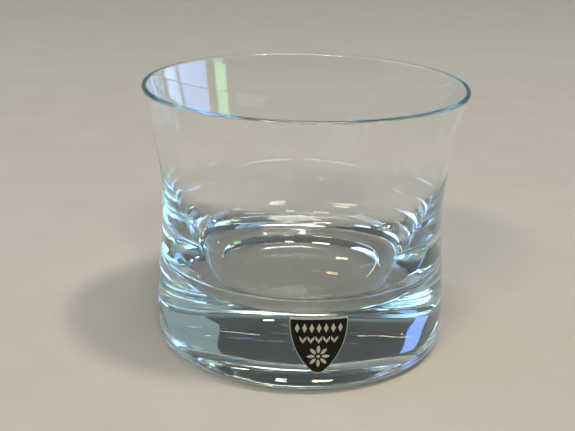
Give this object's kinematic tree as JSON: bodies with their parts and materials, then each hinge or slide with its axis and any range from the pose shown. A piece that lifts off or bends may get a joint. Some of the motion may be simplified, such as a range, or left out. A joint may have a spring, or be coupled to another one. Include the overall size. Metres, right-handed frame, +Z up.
{
  "type": "shot glass",
  "caption": "Clear waisted shot glass with a flared rim, a thick solid base and a small dark shield label with a bare foil edge.",
  "frame": {"origin": "centre of the foot, on the surface the glass stands on", "axes": "+Z up along the glass's axis; the label faces -Y, turned a little towards +X"},
  "size_m": [0.06, 0.06, 0.0495],
  "materials": {
    "clear_glass": "clear, fire-polished, very slightly blue-green",
    "adhesive": "thin clear-drying adhesive film",
    "foil": "pale gold metal foil, satin",
    "print": "near-black lacquer print with a slight green cast"
  },
  "bodies": {
    "root": {"glass": "clear_glass", "label_adhesive": "adhesive", "label_foil": "foil", "label_print": "print"}
  },
  "joints": []
}
